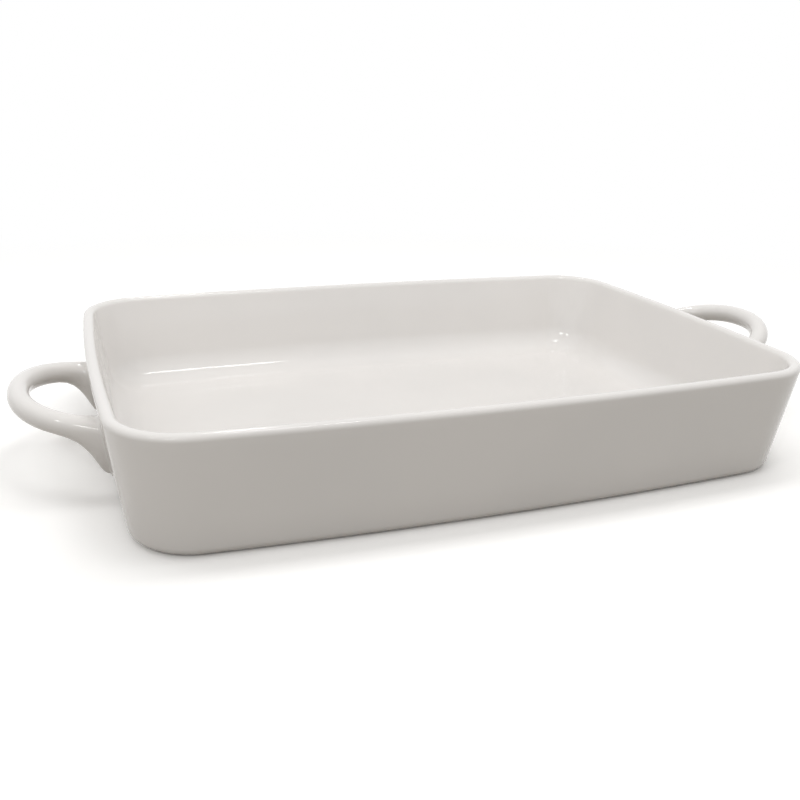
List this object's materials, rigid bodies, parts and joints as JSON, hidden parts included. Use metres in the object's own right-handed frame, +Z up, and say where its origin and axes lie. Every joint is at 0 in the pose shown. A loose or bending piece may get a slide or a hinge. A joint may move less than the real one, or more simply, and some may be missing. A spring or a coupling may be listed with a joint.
{
  "type": "lasagna dish",
  "caption": "Rectangular lasagna dish of white glazed porcelain with leaning walls, rounded corners and a looped handle at each short side.",
  "frame": {"origin": "under the middle of the whole part with its handles, on the plane that the foot ring stands on; the dish itself stands 5.8 mm off it towards the shorter left handle", "axes": "+X along the long side towards the right handle, +Y towards the back long wall, +Z up out of the open dish"},
  "size_m": [0.446, 0.2508, 0.059],
  "materials": {
    "glaze": "smooth clear gloss glaze over a warm white porcelain body, bare only on the foot ring's face"
  },
  "bodies": {
    "root": {"dish_body": "glaze", "left_handle": "glaze", "right_handle": "glaze"}
  },
  "joints": []
}
